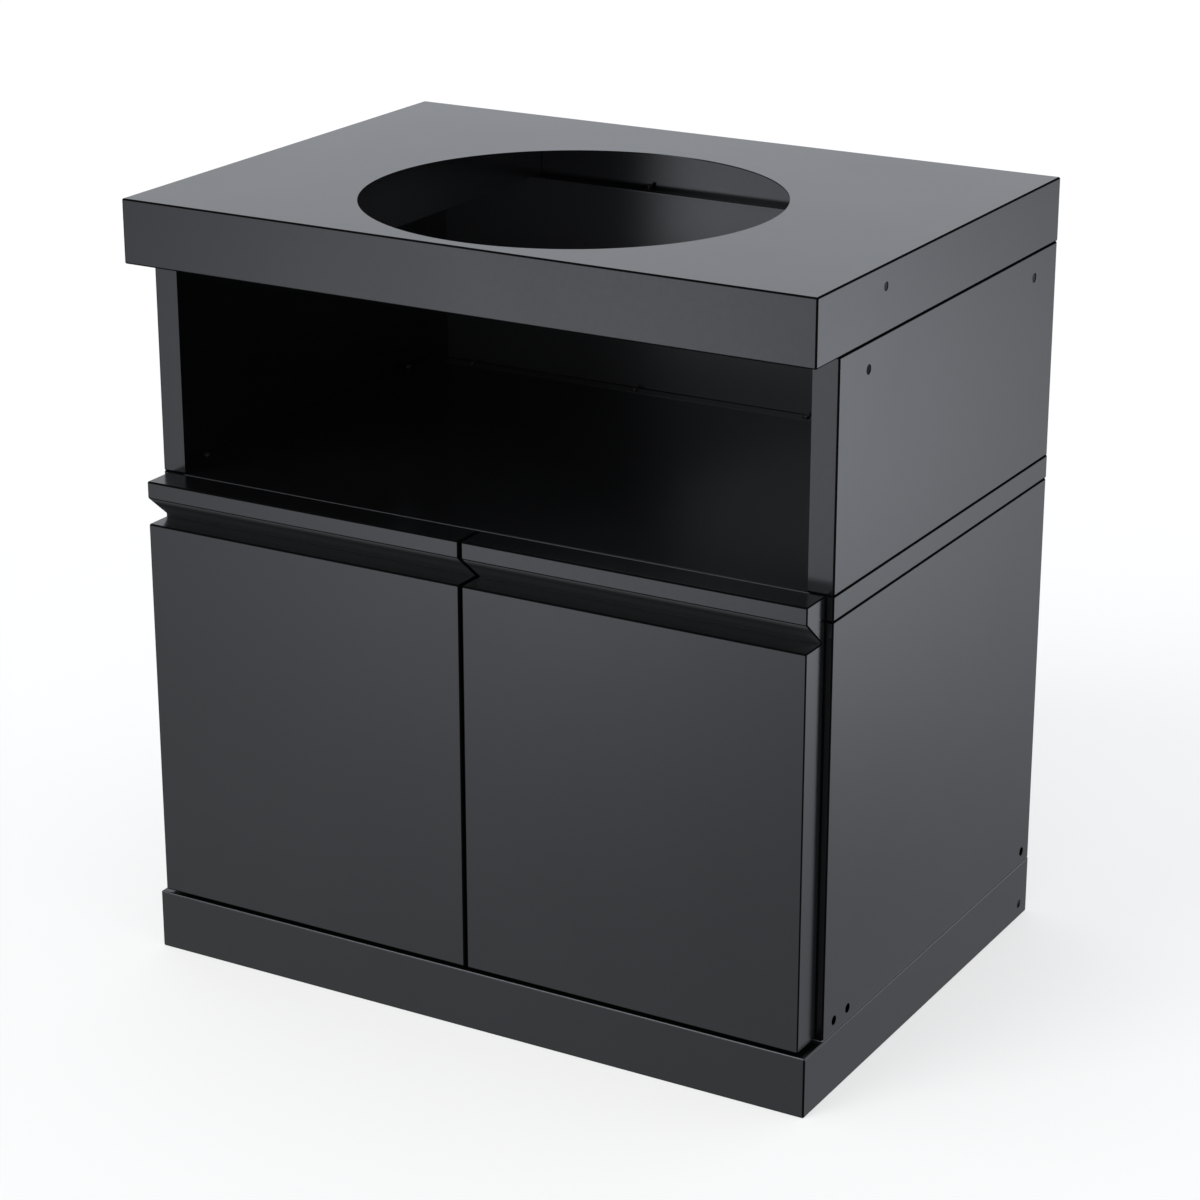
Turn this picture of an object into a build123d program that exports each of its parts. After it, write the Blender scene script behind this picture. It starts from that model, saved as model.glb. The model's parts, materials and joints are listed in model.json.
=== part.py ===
from build123d import *
from math import hypot
import os

# A freestanding kitchen module for a round charcoal grill. The grill stands on a
# shelf in an open bay and rises through a round cut-out in the worktop, over a
# cupboard with two doors. All panels are folded from coated steel sheet.
# Millimetres, +Z up, the front faces -Y, origin at the middle of the footprint.

# Overall size
width = 850.0
depth = 612.0
height = 908.0

# Sheet metal
sheet = 1.2
bend = 2.0
hem = 14.0
flange = 30.0
back_flange = 20.0

# Worktop
skirt_height = 73.5
cutout_radius = 237.0
cutout_margin = 17.0
rib_margin = 18.0
rib_flange = 16.0

# Heights of the stacked pieces
shelf_height = 581.0
shelf_edge = 28.0
plinth_height = 71.5

# Set-backs from the worktop's front face
cabinet_setback = 53.0
plinth_setback = 10.0
door_setback = 10.0

# Shelf beams
beam_width = 40.0
beam_spacing = 220.0

# Plinth
plinth_rear_flange = 18.0
relief_slot = 2.0

# Doors
door_rear_gap = 3.5
door_side_inset = 8.6
door_gap = 4.0
door_floor_gap = 4.0
door_end_bend = 1.5
grip_lip = 19.6
grip_behind = 3.2
grip_floor = 50.5
liner_flange = 10.0

# Hinges
hinge_from_bottom = 90.0
hinge_from_top = 120.0
arm_height = 30.0
arm_sheet = 2.5
arm_corner = 3.0
eye_radius = 5.0
pin_radius = 2.5
pin_head_radius = 4.0
pin_head = 1.5
pin_from_front = 13.5
throat_reach = 8.0
bracket_base = 2.0
bracket_ear = 2.5
bracket_reach = 14.0

# Catches and bumpers
catch_length = 46.0
catch_depth = 11.0
catch_height = 12.0
catch_from_middle = 50.0
catch_screw_inset = 6.0
magnet_wall = 2.2
magnet_height = 7.0
magnet_root = 7.0
striker_length = 40.0
striker_height = 14.0
striker_sheet = 1.2
bumper_radius = 5.0
bumper_from_edge = 22.0

# Fixings
screw_radius = 2.4
screw_head_radius = 4.5
screw_head = 2.2
hinge_screw_head = 1.6
hinge_screw_spacing = 16.0
screw_dome = 1.0
socket_radius = 1.6
socket_depth = 1.0
thread_reach = 5.0
foot_screw_inset = 9.7
foot_screw_from_side = 71.0
screw_from_rib = 29.0
screw_from_beam = 55.0
back_fixings = 4

# Side holes that join this module to its neighbours
link_radius = 5.5
skirt_hole_radius = 5.0
upper_link_drop = 29.0
upper_link_front = 121.0
upper_link_rear = 64.0
lower_link_rise = 15.7
lower_link_front = 79.5
lower_link_second = 113.0
lower_link_rear = 23.4
plinth_link_rise = 18.0
skirt_link_drop = 23.7
skirt_link_front = 157.0

# Clearances
hole_clearance = 0.1
running_clearance = 0.05
pin_seat_clearance = 0.02
side_clearance = 0.2
end_clearance = 1.0
liner_clearance = 0.3
rest_clearance = 0.3
flange_clearance = 1.0
sweep_clearance = 1.2
throat_clearance = 1.5
slot_clearance = 2.0
cut_over = 1.0
same_plane = 0.001

# Planes worked out from the sizes above
inner_bend = bend - sheet
side = width / 2
back = depth / 2
front = -depth / 2
skirt_bottom = height - skirt_height
shelf_bottom = shelf_height - shelf_edge
cabinet_front = front + cabinet_setback
plinth_front = front + plinth_setback
cutout_y = front + cutout_margin + cutout_radius
rib_offset = cutout_radius + rib_margin
rear_flange_face = back - sheet
shelf_middle = (cabinet_front + back) / 2
beam_rows = (shelf_middle - beam_spacing / 2, shelf_middle + beam_spacing / 2)
door_front = front + door_setback
door_back = cabinet_front - door_rear_gap
door_top = shelf_height
door_bottom = plinth_height + door_floor_gap
door_outer = side - door_side_inset
door_inner = door_gap / 2
grip_z = door_top - grip_floor
grip_back = door_back - grip_behind
pin_inset = sheet + rest_clearance + eye_radius
pin_x = door_outer - pin_inset
pin_y = door_front + pin_from_front
hinge_heights = (door_bottom + hinge_from_bottom, door_top - hinge_from_top)
screw_hole = screw_radius + hole_clearance


def spread(reach, count):
    # Places at an even step from -reach to reach.
    return [reach * (2 * index / (count - 1) - 1) for index in range(count)]


# Rows of fixings along each panel
foot_screw_rows = (front + upper_link_front, back - upper_link_rear)
row_reach = (beam_spacing + beam_width) / 2 + screw_from_beam
side_screw_rows = (shelf_middle - row_reach, shelf_middle, shelf_middle + row_reach)
foot_screw_columns = spread(side - foot_screw_from_side, back_fixings)
back_screw_columns = spread(rib_offset + rib_flange + screw_from_rib, back_fixings)
hem_screw = bend + (hem - bend) / 2


def both_hands(places):
    return [(hand * x, y) for hand in (-1, 1) for x, y in places]


side_foot_places = [(side - foot_screw_inset, row) for row in foot_screw_rows]
back_foot_places = [(column, back - foot_screw_inset) for column in foot_screw_columns]
foot_places = both_hands(side_foot_places) + back_foot_places
side_hem_places = [(side - hem_screw, row) for row in side_screw_rows]
back_hem_places = [(column, back - hem_screw) for column in back_screw_columns]
hem_places = both_hands(side_hem_places) + back_hem_places
catch_front = cabinet_front + bend
catch_middle = catch_front + catch_depth / 2
catch_low = shelf_bottom - catch_height
catch_screw_step = catch_length / 2 - catch_screw_inset
catch_screw_columns = (catch_from_middle - catch_screw_step, catch_from_middle + catch_screw_step)
catch_screw_places = both_hands([(column, catch_middle) for column in catch_screw_columns])


def block(low, high, mode=Mode.ADD):
    size = [b - a for a, b in zip(low, high)]
    middle = [(a + b) / 2 for a, b in zip(low, high)]
    with Locations(tuple(middle)):
        Box(*size, mode=mode)


def round_bends(builder, radius, open_faces):
    # Every outer edge is a bend except those that lie on an open face.
    chosen = ShapeList()
    for edge in builder.edges():
        on_open = False
        for axis, place in open_faces:
            ends = [getattr(point, axis) for point in (edge @ 0, edge @ 0.5, edge @ 1)]
            on_open = on_open or all(abs(value - place) < same_plane for value in ends)
        if not on_open:
            chosen.append(edge)
    fillet(chosen, radius)


def round_inside(builder, along, places):
    # The inside of one fold, given as the axis that it runs along and its places on the others.
    line = builder.edges().filter_by(along)
    for axis, place in places:
        line = line.filter_by_position(axis, place - same_plane, place + same_plane)
    fillet(line, inner_bend)


def side_holes(places, radius, facing):
    # Round holes through a wall that faces sideways, given as (y, z) places.
    with BuildSketch(Plane.YZ.offset(facing * side)) as holes:
        with Locations(*places):
            Circle(radius)
    extrude(holes.sketch, amount=-facing * (sheet + cut_over), mode=Mode.SUBTRACT)


def upright_holes(places, radius, low, high):
    with BuildSketch(Plane.XY.offset(low)) as holes:
        with Locations(*places):
            Circle(radius)
    extrude(holes.sketch, amount=high - low, mode=Mode.SUBTRACT)


def folded_tray(builder, low, high):
    # A shallow box with a flat top, four walls and a hem turned in below.
    block(low, high)
    round_bends(builder, bend, ())
    inner_low = [value + sheet for value in low]
    inner_high = [value - sheet for value in high]
    block(inner_low, inner_high, Mode.SUBTRACT)
    block(
        (low[0] + hem, low[1] + hem, low[2] - cut_over),
        (high[0] - hem, high[1] - hem, low[2] + sheet + cut_over),
        Mode.SUBTRACT,
    )


def side_panel(builder, low_z, high_z, hole_places):
    # Right-hand wall with flanges turned in at the front, rear, top and foot.
    inner = side - flange
    block((inner, cabinet_front, low_z), (side, rear_flange_face, high_z))
    round_bends(builder, bend, (("X", inner),))
    block(
        (inner - cut_over, cabinet_front + sheet, low_z + sheet),
        (side - sheet, rear_flange_face - sheet, high_z - sheet),
        Mode.SUBTRACT,
    )
    round_inside(builder, Axis.Y, ((Axis.X, side - sheet), (Axis.Z, low_z + sheet)))
    upright_holes(side_foot_places, screw_hole, low_z - cut_over, low_z + sheet + cut_over)
    upright_holes(side_hem_places, screw_hole, high_z - sheet - cut_over, high_z + cut_over)
    side_holes(hole_places, link_radius, 1)


def back_panel(builder, low_z, high_z):
    # Rear wall behind the side panels' rear flanges, with a top and a foot flange between them.
    reach = side - flange - flange_clearance
    block((-reach, back - back_flange, low_z), (reach, back, high_z))
    round_bends(builder, bend, (("X", reach), ("X", -reach), ("Y", back - back_flange)))
    block(
        (-reach - cut_over, back - back_flange - cut_over, low_z + sheet),
        (reach + cut_over, back - sheet, high_z - sheet),
        Mode.SUBTRACT,
    )
    round_inside(builder, Axis.X, ((Axis.Y, back - sheet), (Axis.Z, low_z + sheet)))
    for hand in (-1, 1):
        edges_x = sorted((hand * reach, hand * (side - bend)))
        block((edges_x[0], back - sheet, low_z), (edges_x[1], back, high_z - bend))
    upright_holes(back_foot_places, screw_hole, low_z - cut_over, low_z + sheet + cut_over)
    upright_holes(back_hem_places, screw_hole, high_z - sheet - cut_over, high_z + cut_over)


pieces = []


def keep(builder, name):
    builder.part.label = name
    pieces.append(builder.part)


def keep_pair(right, name):
    # The left-hand piece is the right-hand one mirrored.
    with BuildPart() as left:
        mirror(right.part, about=Plane.YZ)
    keep(right, f"{name}_right")
    keep(left, f"{name}_left")


# Worktop: a folded tray with the round cut-out and a hole in each side skirt
with BuildPart() as countertop:
    folded_tray(countertop, (-side, front, skirt_bottom), (side, back, height))
    with BuildSketch(Plane.XY.offset(height)):
        with Locations((0, cutout_y)):
            Circle(cutout_radius)
    extrude(amount=-(sheet + cut_over), mode=Mode.SUBTRACT)
    upright_holes(hem_places, screw_hole, skirt_bottom - cut_over, skirt_bottom + sheet + cut_over)
    skirt_hole = [(front + skirt_link_front, height - skirt_link_drop)]
    side_holes(skirt_hole, skirt_hole_radius, 1)
    side_holes(skirt_hole, skirt_hole_radius, -1)
keep(countertop, "countertop")

# Channels under the worktop, either side of the cut-out
rib_low = skirt_bottom + sheet
rib_high = height - sheet
rib_front = front + sheet + end_clearance
rib_back = back - sheet - end_clearance
with BuildPart() as countertop_rib:
    block((rib_offset, rib_front, rib_low), (rib_offset + rib_flange, rib_back, rib_high))
    block(
        (rib_offset + sheet, rib_front - cut_over, rib_low + sheet),
        (rib_offset + rib_flange + cut_over, rib_back + cut_over, rib_high - sheet),
        Mode.SUBTRACT,
    )
keep_pair(countertop_rib, "countertop_rib")

# Walls of the open bay
upper_link_z = skirt_bottom - upper_link_drop
upper_links = [(row, upper_link_z) for row in foot_screw_rows]
with BuildPart() as upper_side:
    side_panel(upper_side, shelf_height, skirt_bottom, upper_links)
keep_pair(upper_side, "upper_side")
with BuildPart() as upper_back:
    back_panel(upper_back, shelf_height, skirt_bottom)
keep(upper_back, "upper_back")

# Shelf that carries the grill, and the beams under it
with BuildPart() as shelf_pan:
    folded_tray(shelf_pan, (-side, cabinet_front, shelf_bottom), (side, back, shelf_height))
    upright_holes(foot_places, screw_hole, shelf_height - sheet - cut_over, shelf_height + cut_over)
    lower_places = hem_places + catch_screw_places
    upright_holes(lower_places, screw_hole, shelf_bottom - cut_over, shelf_bottom + sheet + cut_over)
keep(shelf_pan, "shelf_pan")
beam_reach = side - sheet - end_clearance
for name, beam_y in zip(("shelf_beam_front", "shelf_beam_rear"), beam_rows):
    with BuildPart() as shelf_beam:
        block(
            (-beam_reach, beam_y - beam_width / 2, shelf_bottom + sheet),
            (beam_reach, beam_y + beam_width / 2, shelf_height - sheet),
        )
        block(
            (-beam_reach - cut_over, beam_y - beam_width / 2 + sheet, shelf_bottom + 2 * sheet),
            (beam_reach + cut_over, beam_y + beam_width / 2 - sheet, shelf_height - sheet + cut_over),
            Mode.SUBTRACT,
        )
    keep(shelf_beam, name)

# Walls of the cupboard, with holes for the hinges in the front flanges
hinge_screw_x = side - flange / 2
hinge_screw_steps = (-hinge_screw_spacing / 2, hinge_screw_spacing / 2)
hinge_screw_places = [(hinge_screw_x, z + step) for z in hinge_heights for step in hinge_screw_steps]
lower_link_z = plinth_height + lower_link_rise
lower_link_rows = (front + lower_link_front, front + lower_link_second, back - lower_link_rear)
lower_links = [(row, lower_link_z) for row in lower_link_rows]
with BuildPart() as lower_side:
    side_panel(lower_side, plinth_height, shelf_bottom, lower_links)
    with BuildSketch(Plane.XZ.offset(-cabinet_front)):
        with Locations(*hinge_screw_places):
            Circle(screw_hole)
    extrude(amount=-(sheet + cut_over), mode=Mode.SUBTRACT)
keep_pair(lower_side, "lower_side")
with BuildPart() as lower_back:
    back_panel(lower_back, plinth_height, shelf_bottom)
keep(lower_back, "lower_back")

# Plinth: its top is the cupboard floor, and its rear is open below a short flange
with BuildPart() as base_pan:
    folded_tray(base_pan, (-side, plinth_front, 0), (side, back, plinth_height))
    upright_holes(foot_places, screw_hole, plinth_height - sheet - cut_over, plinth_height + cut_over)
    rear_edge = plinth_height - plinth_rear_flange
    block(
        (-side + hem, back - hem - cut_over, -cut_over),
        (side - hem, back + cut_over, rear_edge),
        Mode.SUBTRACT,
    )
    for hand in (-1, 1):
        slot_x = sorted((hand * (side - hem), hand * (side - bend)))
        block(
            (slot_x[0], back - sheet - cut_over, rear_edge - relief_slot),
            (slot_x[1], back + cut_over, rear_edge),
            Mode.SUBTRACT,
        )
    plinth_hole = [(back - lower_link_rear, plinth_link_rise)]
    side_holes(plinth_hole, skirt_hole_radius, 1)
    side_holes(plinth_hole, skirt_hole_radius, -1)
keep(base_pan, "base_pan")


def door_outline(builder):
    # Side profile from the top rear corner round the front to the bottom rear corner,
    # with the bend at the root of the finger grip.
    with BuildLine() as outline:
        Polyline(
            (door_back, door_top),
            (door_front, door_top),
            (door_front, door_top - grip_lip),
            (grip_back, grip_z),
            (door_front, grip_z),
            (door_front, door_bottom),
            (door_back, door_bottom),
            close=True,
        )
    make_face(outline.edges())
    grip_root = builder.vertices().sort_by(Axis.X)[-3]
    fillet(grip_root, inner_bend)


# Door skin: the folded front with the finger grip, closed at both ends
skin_inner_front = door_front + sheet
end_bend = min(door_end_bend, bend - same_plane)
with BuildPart() as door_skin:
    with BuildSketch(Plane.YZ.offset(door_inner)) as outer_outline:
        door_outline(outer_outline)
        fillet(outer_outline.vertices().group_by(Axis.X)[0], bend)
    extrude(amount=door_outer - door_inner)
    ends = door_skin.faces().filter_by(Axis.X).edges()
    fillet(ends.filter_by(lambda edge: edge.center().Y < door_back - end_bend), end_bend)
    with BuildSketch(Plane.YZ.offset(door_inner + sheet)) as hollow:
        door_outline(hollow)
        offset(amount=-sheet, kind=Kind.INTERSECTION, mode=Mode.REPLACE)
        rear_middle = (door_top + door_bottom) / 2
        rear_height = door_top - door_bottom - 2 * sheet
        with Locations((door_back, rear_middle)):
            Rectangle(2 * (sheet + cut_over), rear_height)
    extrude(amount=door_outer - door_inner - 2 * sheet, mode=Mode.SUBTRACT)
keep_pair(door_skin, "door_skin")

# Door liner: closes the back of the skin, notched where the hinge arms pass
liner_inner = door_inner + sheet + liner_clearance
liner_outer = door_outer - sheet - liner_clearance
liner_low = door_bottom + sheet + liner_clearance
liner_high = door_top - sheet - liner_clearance
sweep_radius = hypot(door_outer - pin_x, door_back - pin_y)
leg_x = pin_x - sweep_radius - sweep_clearance - arm_sheet / 2
notch_x = leg_x - arm_sheet / 2 - slot_clearance
notch_reach = arm_height / 2 + slot_clearance
with BuildPart() as door_liner:
    block((liner_inner, door_back - liner_flange, liner_low), (liner_outer, door_back, liner_high))
    round_bends(
        door_liner,
        bend,
        (("X", liner_inner), ("X", liner_outer), ("Y", door_back - liner_flange)),
    )
    block(
        (liner_inner - cut_over, door_back - liner_flange - cut_over, liner_low + sheet),
        (liner_outer + cut_over, door_back - sheet, liner_high - sheet),
        Mode.SUBTRACT,
    )
    for hinge_z in hinge_heights:
        block(
            (notch_x, door_back - sheet - cut_over, hinge_z - notch_reach),
            (liner_outer + cut_over, door_back + cut_over, hinge_z + notch_reach),
            Mode.SUBTRACT,
        )
keep_pair(door_liner, "door_liner")

# Hinges: a bent arm reaches from behind the cabinet's front flange, through the
# liner, round the door's rear corner to a pin that a bracket in the door holds
foot_y = cabinet_front + sheet + arm_sheet / 2
foot_end = side - sheet - end_clearance
throat_y = skin_inner_front + bracket_base + throat_clearance + arm_sheet / 2
ear_inner = arm_height / 2 + side_clearance
ear_outer = ear_inner + bracket_ear
for level, hinge_z in zip(("low", "high"), hinge_heights):
    with BuildPart() as hinge_arm:
        with BuildSketch(Plane.XY.offset(hinge_z - arm_height / 2)):
            with BuildLine() as strap:
                FilletPolyline(
                    (foot_end, foot_y),
                    (leg_x, foot_y),
                    (leg_x, throat_y),
                    (pin_x - throat_reach, throat_y),
                    (pin_x, pin_y),
                    radius=arm_corner,
                )
            trace(line_width=arm_sheet)
            with Locations((pin_x, pin_y)):
                Circle(eye_radius)
                Circle(pin_radius + running_clearance, mode=Mode.SUBTRACT)
        extrude(amount=arm_height)
        with BuildSketch(Plane.XZ.offset(-cabinet_front)):
            with Locations(*[(hinge_screw_x, hinge_z + step) for step in hinge_screw_steps]):
                Circle(screw_hole)
        extrude(amount=-(sheet + arm_sheet + cut_over), mode=Mode.SUBTRACT)
    keep_pair(hinge_arm, f"hinge_arm_{level}")

    with BuildPart() as hinge_bracket:
        block(
            (pin_x - bracket_reach, skin_inner_front, hinge_z - ear_outer),
            (pin_x + eye_radius, pin_y + eye_radius, hinge_z + ear_outer),
        )
        block(
            (
                pin_x - bracket_reach - cut_over,
                skin_inner_front + bracket_base,
                hinge_z - ear_inner,
            ),
            (
                pin_x + eye_radius + cut_over,
                pin_y + eye_radius + cut_over,
                hinge_z + ear_inner,
            ),
            Mode.SUBTRACT,
        )
        upright_holes(
            [(pin_x, pin_y)],
            pin_radius + pin_seat_clearance,
            hinge_z - ear_outer - cut_over,
            hinge_z + ear_outer + cut_over,
        )
    keep_pair(hinge_bracket, f"hinge_bracket_{level}")

    with BuildPart() as hinge_pin:
        with BuildSketch(Plane.XY.offset(hinge_z - ear_outer - pin_head)):
            with Locations((pin_x, pin_y)):
                Circle(pin_radius)
        extrude(amount=2 * ear_outer + pin_head)
        with BuildSketch(Plane.XY.offset(hinge_z + ear_outer)):
            with Locations((pin_x, pin_y)):
                Circle(pin_head_radius)
        extrude(amount=pin_head)
    keep_pair(hinge_pin, f"hinge_pin_{level}")

# Magnetic catches under the shelf's front edge, with a striker on each door
catch_seat = screw_head + rest_clearance
catch_bore = screw_head_radius + rest_clearance
magnet_reach = catch_screw_step - catch_bore - magnet_wall
magnet_front = door_back + striker_sheet + rest_clearance
magnet_z = catch_low + catch_height / 2
with BuildPart() as catch_housing:
    block(
        (catch_from_middle - catch_length / 2, catch_front, catch_low),
        (catch_from_middle + catch_length / 2, catch_front + catch_depth, shelf_bottom),
    )
    block(
        (
            catch_from_middle - magnet_reach - hole_clearance,
            catch_front - cut_over,
            magnet_z - magnet_height / 2 - hole_clearance,
        ),
        (
            catch_from_middle + magnet_reach + hole_clearance,
            catch_front + magnet_root,
            magnet_z + magnet_height / 2 + hole_clearance,
        ),
        Mode.SUBTRACT,
    )
    catch_places = [(column, catch_middle) for column in catch_screw_columns]
    upright_holes(catch_places, screw_hole, catch_low - cut_over, shelf_bottom + cut_over)
    upright_holes(catch_places, catch_bore, catch_low - cut_over, catch_low + catch_seat)
keep_pair(catch_housing, "catch_housing")
with BuildPart() as catch_magnet:
    block(
        (catch_from_middle - magnet_reach, magnet_front, magnet_z - magnet_height / 2),
        (
            catch_from_middle + magnet_reach,
            catch_front + magnet_root,
            magnet_z + magnet_height / 2,
        ),
    )
keep_pair(catch_magnet, "catch_magnet")
with BuildPart() as striker_plate:
    block(
        (catch_from_middle - striker_length / 2, door_back, magnet_z - striker_height / 2),
        (
            catch_from_middle + striker_length / 2,
            door_back + striker_sheet,
            magnet_z + striker_height / 2,
        ),
    )
keep_pair(striker_plate, "striker_plate")

# Rubber bumpers on each door, against the shelf's front edge
bumper_z = shelf_bottom + shelf_edge / 2
bumper_columns = (door_inner + bumper_from_edge, door_outer - bumper_from_edge)
with BuildPart() as door_bumpers:
    with BuildSketch(Plane.XZ.offset(-door_back)):
        with Locations(*[(column, bumper_z) for column in bumper_columns]):
            Circle(bumper_radius)
    extrude(amount=-(cabinet_front - door_back - rest_clearance))
keep_pair(door_bumpers, "door_bumpers")


def button_screw(head, length):
    # A socket screw standing head up, with its head's underside at the origin.
    with BuildPart() as screw:
        with BuildSketch():
            Circle(screw_head_radius)
        extrude(amount=head)
        fillet(screw.edges().group_by(Axis.Z)[-1], screw_dome)
        with BuildSketch(Plane.XY.offset(head)):
            RegularPolygon(socket_radius, 6)
        extrude(amount=-socket_depth, mode=Mode.SUBTRACT)
        with BuildSketch():
            Circle(screw_radius)
        extrude(amount=-length)
    return screw.part


def screw_group(name, head, length, seats):
    solid = button_screw(head, length)
    with BuildPart() as group:
        with Locations(*seats):
            add(solid)
    keep(group, name)


# Screws, in one group for each row of joints
lap = 2 * sheet + thread_reach
up = Vector(0, 0, 1)
down = -up
forward = Vector(0, -1, 0)
worktop_seats = [Plane((x, y, skirt_bottom - sheet), z_dir=down) for x, y in hem_places]
screw_group("countertop_screws", screw_head, lap, worktop_seats)
bay_seats = [Plane((x, y, shelf_height + sheet), z_dir=up) for x, y in foot_places]
screw_group("bay_screws", screw_head, lap, bay_seats)
shelf_seats = [Plane((x, y, shelf_bottom - sheet), z_dir=down) for x, y in hem_places]
screw_group("shelf_screws", screw_head, lap, shelf_seats)
floor_seats = [Plane((x, y, plinth_height + sheet), z_dir=up) for x, y in foot_places]
screw_group("floor_screws", screw_head, lap, floor_seats)
hinge_seats = [
    Plane((x, cabinet_front, z), z_dir=forward) for x, z in both_hands(hinge_screw_places)
]
screw_group("hinge_screws", hinge_screw_head, lap + arm_sheet, hinge_seats)
catch_seats = [Plane((x, y, catch_low + catch_seat), z_dir=down) for x, y in catch_screw_places]
screw_group("catch_screws", screw_head, catch_height - catch_seat + lap, catch_seats)

os.makedirs("parts", exist_ok=True)
for piece in pieces:
    export_step(piece, f"parts/{piece.label}.step")
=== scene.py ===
import json
from math import cos, radians, sin

import bpy
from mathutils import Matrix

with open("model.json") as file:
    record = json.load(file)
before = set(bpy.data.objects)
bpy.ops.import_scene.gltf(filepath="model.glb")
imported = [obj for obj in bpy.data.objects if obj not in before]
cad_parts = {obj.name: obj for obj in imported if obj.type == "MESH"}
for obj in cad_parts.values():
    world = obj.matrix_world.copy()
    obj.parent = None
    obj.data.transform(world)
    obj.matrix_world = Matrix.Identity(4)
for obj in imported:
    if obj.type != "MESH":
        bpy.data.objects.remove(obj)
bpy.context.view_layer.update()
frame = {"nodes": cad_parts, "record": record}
nodes = frame["nodes"]
bpy.ops.object.select_all(action="DESELECT")


# A socket in a node tree, so that shader maths reads as plain arithmetic
class Wire:
    def __init__(self, tree, socket=None):
        self.tree = tree
        self.socket = socket

    def node(self, kind, settings=None, inputs=None, output=0):
        made = self.tree.nodes.new(kind)
        for name, value in (settings or {}).items():
            setattr(made, name, value)
        for name, value in (inputs or {}).items():
            if isinstance(value, Wire):
                self.tree.links.new(value.socket, made.inputs[name])
            else:
                made.inputs[name].default_value = value
        return Wire(self.tree, made.outputs[output]) if made.outputs else None

    def maths(self, operation, first, second):
        return self.node("ShaderNodeMath", {"operation": operation}, {0: first, 1: second})

    def __add__(self, other):
        return self.maths("ADD", self, other)

    def __radd__(self, other):
        return self.maths("ADD", other, self)

    def __sub__(self, other):
        return self.maths("SUBTRACT", self, other)

    def __rsub__(self, other):
        return self.maths("SUBTRACT", other, self)

    def __mul__(self, other):
        return self.maths("MULTIPLY", self, other)

    def __rmul__(self, other):
        return self.maths("MULTIPLY", other, self)

    def __abs__(self):
        return self.maths("ABSOLUTE", self, 0.0)

    def largest(self, other):
        return self.maths("MAXIMUM", self, other)

    def split(self):
        return [self.node("ShaderNodeSeparateXYZ", inputs={0: self}, output=axis) for axis in "XYZ"]

    def noise(self, scale, detail=2.0):
        return self.node(
            "ShaderNodeTexNoise", inputs={"Vector": self, "Scale": scale, "Detail": detail}
        )

    # 0 at the first value and 1 at the second, smooth between
    def eased(self, start, end):
        return self.node(
            "ShaderNodeMapRange",
            {"interpolation_type": "SMOOTHSTEP"},
            {"Value": self, "From Min": start, "From Max": end},
        )

    # The first colour at 0 and the second at 1; a Mix node's colours are its sockets 6 and 7
    def tint(self, first, second):
        return self.node(
            "ShaderNodeMix", {"data_type": "RGBA"}, {0: self, 6: first, 7: second}, output=2
        )

    def bump(self, strength, depth):
        return self.node(
            "ShaderNodeBump", inputs={"Strength": strength, "Distance": depth, "Height": self}
        )


# An empty material; its first wire makes all the nodes
def newFinish(name):
    finish = bpy.data.materials.new(name)
    finish.use_nodes = True
    finish.node_tree.nodes.clear()
    return finish, Wire(finish.node_tree)


# The surface shader and its output, from socket values
def dress(start, sockets):
    shader = start.node("ShaderNodeBsdfPrincipled", inputs=sockets)
    start.node("ShaderNodeOutputMaterial", inputs={"Surface": shader})


blackCoat = {
    "dark": (0.0016, 0.0016, 0.0018, 1),
    "light": (0.0030, 0.0031, 0.0034, 1),
    "index": 1.55,
    "sheen": (0.89, 0.92, 1.0, 1),
    "roughness": 0.17,
    "cloudRoughness": 0.05,
    "peelRoughness": 0.04,
    "cloudScale": 7.0,
    "cloudDetail": 3.0,
    "peelScale": 210.0,
    "grainScale": 900.0,
    "grainDetail": 1.0,
    "peelShare": 0.65,
    "peelStrength": 0.22,
    "peelDepth": 0.00004,
    # bendStart to bendEnd and the bend colour and roughness make the painted dark lines on the
    # bends, a painted dark reflection
    "bendStart": 0.002,
    "bendEnd": 0.015,
    "paintedBendColour": (0.0030, 0.0030, 0.0032, 1),
    "bendRoughness": 0.6,
}

# Painted light: the bay's back wall and the channels above it get a paler copy of the coat,
# standing in for light inside the bay
coatChanges = {
    "paintedLightInnerCoat": {"dark": (0.0105, 0.0107, 0.0112, 1), "light": (0.0125, 0.0128, 0.0134, 1)},
}

# Bends that face up keep a share of their real gloss in place of the painted dark line, within a
# reach from the middle;
# "sides" is how much of that is lost where a bend turns to the left or right
bendGloss = {
    "shelfCoat": {"up": 0.32, "sides": 1.0, "reach": 0.395},
    "plinthCoat": {"up": 1.0, "sides": 0.0, "reach": 0.5},
}
bendTurn = {"up": (0.05, 0.15), "sides": (0.0, 0.1), "reachBlur": 0.003}

# In the doors' finger grip the coat is painted paler, as painted light that stands in for light
# bounced into the recess: on the slope and its root in the unreflecting bend shader, and on the
# floor in the glossy coat
gripPaintedLight = {
    "floorZ": 0.5305,
    "lipZ": 0.5611,
    "lipReach": 0.0144,
    "frontY": -0.296,
    "rootY": -0.2597,
    "blur": 0.0005,
    "endTurn": (0.02, 0.1),
    "rootTurn": (-0.7, 0.0),
    "floorTurn": (0.9, 0.99),
    "lipPaintedLight": (0.058, 0.059, 0.062, 1),
    "slopePaintedLight": (0.0030, 0.0031, 0.0033, 1),
    "rootPaintedLight": (0.050, 0.051, 0.054, 1),
    "paintedBendColour": (0.024, 0.025, 0.026, 1),
    "frontColour": (0.010, 0.0103, 0.0108, 1),
    "rearPaintedLight": (0.030, 0.031, 0.033, 1),
}

# Painted glint: the cupboard walls' feet get a pale line where they meet the plinth, a painted
# highlight along that seam
wallFootGlint = {"topZ": 0.0741, "blur": 0.0003, "colour": (0.17, 0.175, 0.185, 1)}
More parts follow.
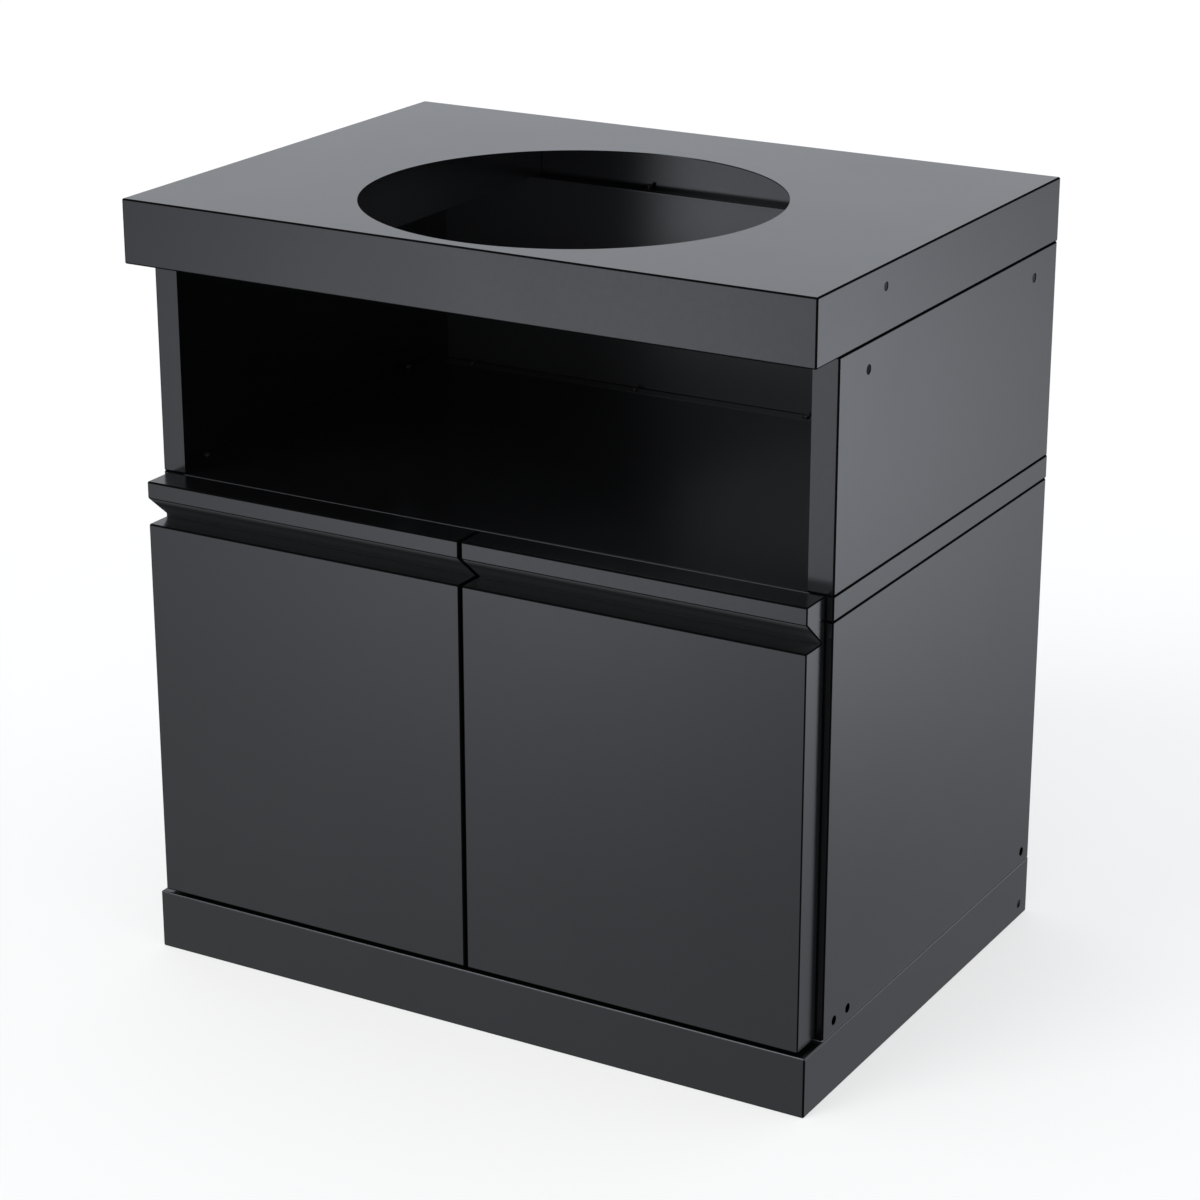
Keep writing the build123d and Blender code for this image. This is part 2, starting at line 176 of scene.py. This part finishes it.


# Satin black powder coat: a faint orange peel and cloudy gloss; on the bends a painted dark line, a
# dull unreflecting shader that stands in for a dark reflection
def makeBlackCoat(name):
    look = blackCoat | coatChanges.get(name, {})
    finish, start = newFinish(name)
    place = start.node("ShaderNodeTexCoord", output="Object")
    sideways, inward, height = place.split()
    across, along, up = start.node("ShaderNodeTexCoord", output="Normal").split()
    clouds = place.noise(look["cloudScale"], look["cloudDetail"])
    peel = place.noise(look["peelScale"])
    grain = place.noise(look["grainScale"], look["grainDetail"])
    coatColour = clouds.tint(look["dark"], look["light"])
    # Painted light for the unreflecting shader: dark on the bends, paler in the finger grip and on
    # the wall feet
    paintedLightColour = look["paintedBendColour"]
    # Painted light in the finger grip, which lifts the shade of the recess on its slope, root, lip
    # and floor
    if name == "doorCoat":
        grip = gripPaintedLight
        low, high, blur = grip["floorZ"], grip["lipZ"], grip["blur"]
        depth = height.eased(high, low)
        nearLip = height.eased(high - grip["lipReach"], high)
        paler = depth.tint(grip["slopePaintedLight"], grip["rootPaintedLight"])
        paler = (nearLip * nearLip).tint(paler, grip["lipPaintedLight"])
        paler = up.eased(*grip["rootTurn"]).tint(paler, grip["paintedBendColour"])
        within = height.eased(low, low + blur) * height.eased(high, high - blur)
        within = within * (1 - abs(across).eased(*grip["endTurn"]))
        paintedLightColour = within.tint(paintedLightColour, paler)
        toRoot = inward.eased(grip["frontY"], grip["rootY"])
        gripFloorPaintedLight = toRoot.tint(grip["frontColour"], grip["rearPaintedLight"])
        coatColour = (depth * up.eased(*grip["floorTurn"])).tint(coatColour, gripFloorPaintedLight)
    # Painted glint along the foot bend of each lower wall
    if name == "wallCoat":
        foot = height.eased(wallFootGlint["topZ"], wallFootGlint["topZ"] - wallFootGlint["blur"])
        paintedLightColour = foot.tint(paintedLightColour, wallFootGlint["colour"])
    gloss = look["roughness"] + look["cloudRoughness"] * clouds + look["peelRoughness"] * peel
    skin = look["peelShare"] * peel + (1 - look["peelShare"]) * grain
    coat = start.node(
        "ShaderNodeBsdfPrincipled",
        inputs={
            "Base Color": coatColour,
            "IOR": look["index"],
            "Specular Tint": look["sheen"],
            "Roughness": gloss,
            "Normal": skin.bump(look["peelStrength"], look["peelDepth"]),
        },
    )
    # The unreflecting shader of the painted dark bend lines and of the painted light in the grip
    # and on the wall feet
    paintedLineShader = start.node(
        "ShaderNodeBsdfPrincipled",
        inputs={
            "Base Color": paintedLightColour,
            "Roughness": look["bendRoughness"],
            "Specular IOR Level": 0.0,
        },
    )
    # Facets off the three axes, the bends, take the painted dark line shader
    squarest = abs(across).largest(abs(along)).largest(abs(up))
    paintedBendLine = (1 - squarest).eased(look["bendStart"], look["bendEnd"])
    if name in bendGloss:
        share = bendGloss[name]
        kept = share["up"] * up.eased(*bendTurn["up"])
        kept = kept * (1 - share["sides"] * abs(across).eased(*bendTurn["sides"]))
        reach = share["reach"]
        paintedBendLine = paintedBendLine * (1 - kept * abs(sideways).eased(reach + bendTurn["reachBlur"], reach))
    # The glossy coat gives way to the painted bend shader on the bends
    paintedBendMix = start.node("ShaderNodeMixShader", inputs={0: paintedBendLine, 1: coat, 2: paintedLineShader})
    start.node("ShaderNodeOutputMaterial", inputs={"Surface": paintedBendMix})
    return finish


platedSteel = {
    "dull": (0.42, 0.43, 0.44, 1),
    "bright": (0.62, 0.63, 0.63, 1),
    "roughness": 0.3,
    "spangleRoughness": 0.14,
    "spangleScale": 420.0,
    "spangleDetail": 3.0,
    "spangleEdge": (0.35, 0.65),
    "drawnScale": (60.0, 60.0, 1400.0),
    "drawnStrength": 0.12,
    "drawnDepth": 0.00003,
}


# Zinc plating on the hinge steel: small dull and bright patches over drawing lines
def makePlatedSteel():
    look = platedSteel
    finish, start = newFinish("platedSteel")
    place = start.node("ShaderNodeTexCoord", output="Object")
    spangle = place.noise(look["spangleScale"], look["spangleDetail"])
    drawn = place.node("ShaderNodeMapping", inputs={"Vector": place, "Scale": look["drawnScale"]})
    dress(
        start,
        {
            "Base Color": spangle.eased(*look["spangleEdge"]).tint(look["dull"], look["bright"]),
            "Metallic": 1.0,
            "Roughness": look["roughness"] + look["spangleRoughness"] * spangle,
            "Normal": drawn.noise(1.0).bump(look["drawnStrength"], look["drawnDepth"]),
        },
    )
    return finish


darkScrew = {
    "dark": (0.010, 0.010, 0.011, 1),
    "light": (0.035, 0.034, 0.033, 1),
    "metallic": 0.7,
    "roughness": 0.3,
    "stainRoughness": 0.2,
    "stainScale": 900.0,
    "stainDetail": 3.0,
    "strength": 0.15,
    "depth": 0.00003,
}


# Black oxide on the screws: oily stains on dark metal
def makeDarkScrew():
    look = darkScrew
    finish, start = newFinish("darkScrew")
    place = start.node("ShaderNodeTexCoord", output="Object")
    stain = place.noise(look["stainScale"], look["stainDetail"])
    dress(
        start,
        {
            "Base Color": stain.tint(look["dark"], look["light"]),
            "Metallic": look["metallic"],
            "Roughness": look["roughness"] + look["stainRoughness"] * stain,
            "Normal": stain.bump(look["strength"], look["depth"]),
        },
    )
    return finish


mouldedBlack = {
    "rubber": {
        "dark": (0.014, 0.014, 0.014, 1),
        "light": (0.026, 0.026, 0.026, 1),
        "roughness": 0.68,
        "grainRoughness": 0.2,
        "grainScale": 1100.0,
        "strength": 0.2,
        "depth": 0.00006,
    },
    "plastic": {
        "dark": (0.022, 0.022, 0.023, 1),
        "light": (0.036, 0.036, 0.038, 1),
        "roughness": 0.42,
        "grainRoughness": 0.16,
        "grainScale": 1500.0,
        "strength": 0.25,
        "depth": 0.00005,
    },
    "magnet": {
        "dark": (0.050, 0.050, 0.053, 1),
        "light": (0.085, 0.085, 0.090, 1),
        "roughness": 0.48,
        "grainRoughness": 0.2,
        "grainScale": 700.0,
        "strength": 0.2,
        "depth": 0.00004,
    },
}


# Small dark pieces: bumper rubber, the catches' moulded plastic and ground ferrite
def makeMouldedBlack(name):
    look = mouldedBlack[name]
    finish, start = newFinish(name)
    grain = start.node("ShaderNodeTexCoord", output="Object").noise(look["grainScale"])
    dress(
        start,
        {
            "Base Color": grain.tint(look["dark"], look["light"]),
            "Roughness": look["roughness"] + look["grainRoughness"] * grain,
            "Normal": grain.bump(look["strength"], look["depth"]),
        },
    )
    return finish


# By the record's material slots, and then the nodes whose coat differs from the rest
finishes = {
    "black_coat": makeBlackCoat("blackCoat"),
    "plated_steel": makePlatedSteel(),
    "dark_screws": makeDarkScrew(),
    "bumper_rubber": makeMouldedBlack("rubber"),
    "catch_plastic": makeMouldedBlack("plastic"),
    "magnet": makeMouldedBlack("magnet"),
}
specialCoats = {
    "doorCoat": ("door_skin_left", "door_skin_right"),
    "shelfCoat": ("shelf_pan",),
    "plinthCoat": ("base_pan",),
    "wallCoat": ("lower_side_left", "lower_side_right"),
    # Painted light: these parts take the paler inner coat
    "paintedLightInnerCoat": ("upper_back", "countertop_rib_left", "countertop_rib_right"),
}
for subpart in frame["record"]["subparts"]:
    piece = nodes[subpart["node"]]
    piece.data.materials.clear()
    piece.data.materials.append(finishes[subpart["material_slot"]])
for coatName, coated in specialCoats.items():
    coat = makeBlackCoat(coatName)
    for nodeName in coated:
        nodes[nodeName].data.materials[0] = coat
print("finishes:", len(finishes) + len(specialCoats), "on", len(nodes), "nodes")


# A direction from the middle, in degrees: turned round from the front, and raised
def heading(around, above):
    around, above = radians(around), radians(above)
    return (sin(around) * cos(above), -cos(around) * cos(above), sin(above))


floorPaint = {
    "size": 300.0,
    "colour": (0.95, 0.95, 0.95, 1),
    "roughness": 0.9,
    "white": 0.6,
}


# A pale matt floor, part white where it is seen, which keeps the shadow
def makeFloor():
    bpy.ops.mesh.primitive_plane_add(size=floorPaint["size"])
    floor = bpy.context.object
    floor.name = "floor"
    paint, start = newFinish("floorPaint")
    matt = start.node(
        "ShaderNodeBsdfPrincipled",
        inputs={"Base Color": floorPaint["colour"], "Roughness": floorPaint["roughness"]},
    )
    white = start.node("ShaderNodeEmission", inputs={"Strength": 1.0})
    seen = start.node("ShaderNodeLightPath", output="Is Camera Ray")
    for ray in ("Is Glossy Ray", "Is Transmission Ray"):
        seen = seen.largest(start.node("ShaderNodeLightPath", output=ray))
    paler = start.node(
        "ShaderNodeMixShader", inputs={0: floorPaint["white"] * seen, 1: matt, 2: white}
    )
    start.node("ShaderNodeOutputMaterial", inputs={"Surface": paler})
    floor.data.materials.append(paint)
    floor.visible_glossy = False  # the coat shows the surround


surround = {
    "frontColour": (0.984, 0.985, 0.994, 1),
    "backColour": (0.952, 0.985, 1.04, 1),
    "colourBlur": 0.3,
    "skyStrength": 0.88,
    "lowStrength": 0.667,
    "horizonBlur": 0.05,
}
# Soft glows and a shade low in the surround, which the coat reflects, in degrees
glows = {
    "frontGlow": {"around": -29.9, "above": -15.4, "reach": 8.45, "strength": 2.08},
    "sideGlow": {"around": 149.2, "above": -16.2, "reach": 8.2, "strength": 1.9},
    "sideShade": {"around": 170.7, "above": -22.6, "reach": 24.6, "strength": -0.35},
}


# A pale surround, a little bluer at the back and dimmer below the horizon
def makeSurround():
    world = bpy.data.worlds.new("surround")
    bpy.context.scene.world = world
    world.use_nodes = True
    world.node_tree.nodes.clear()
    start = Wire(world.node_tree)
    towards = start.node("ShaderNodeTexCoord", output="Generated")
    _, back, rise = towards.split()
    turn, horizon = surround["colourBlur"], surround["horizonBlur"]
    colour = back.eased(-turn, turn).tint(surround["frontColour"], surround["backColour"])
    lift = surround["skyStrength"] - surround["lowStrength"]
    strength = surround["lowStrength"] + lift * rise.eased(-horizon, horizon)
    for glow in glows.values():
        middle = heading(glow["around"], glow["above"])
        near = towards.node(
            "ShaderNodeVectorMath", {"operation": "DOT_PRODUCT"}, {0: towards, 1: middle}, "Value"
        )
        strength = strength + glow["strength"] * near.eased(cos(radians(glow["reach"])), 1.0)
    sky = start.node("ShaderNodeBackground", inputs={"Color": colour, "Strength": strength})
    start.node("ShaderNodeOutputWorld", inputs={"Surface": sky})


keyLight = {"strength": 1.15, "tilt": (radians(52), 0, radians(-27)), "softness": radians(30)}


# One very soft key from above
def makeKey():
    bpy.ops.object.light_add(type="SUN", rotation=keyLight["tilt"])
    key = bpy.context.object
    key.name = "key"
    key.data.energy = keyLight["strength"]
    key.data.angle = keyLight["softness"]


cameraView = {
    "azimuth": 29.961,
    "elevation": 19.9945,
    "lens": 100.13,
    "sensor": 36.0,
    "lookAt": (0.0, 0.0058, 0.4191),
    "distance": 3.8749,
}


# The camera stands where the straight edges of the picture put it
def makeCamera():
    around, above = cameraView["azimuth"], cameraView["elevation"]
    away = heading(around, above)
    place = [at + cameraView["distance"] * step for at, step in zip(cameraView["lookAt"], away)]
    bpy.ops.object.camera_add(location=place, rotation=(radians(90 - above), 0, radians(around)))
    camera = bpy.context.object
    camera.data.lens = cameraView["lens"]
    camera.data.sensor_width = cameraView["sensor"]
    bpy.context.scene.camera = camera
    bpy.context.scene.view_settings.view_transform = "Standard"


makeFloor()
makeSurround()
makeKey()
makeCamera()
print("studio and camera ready")
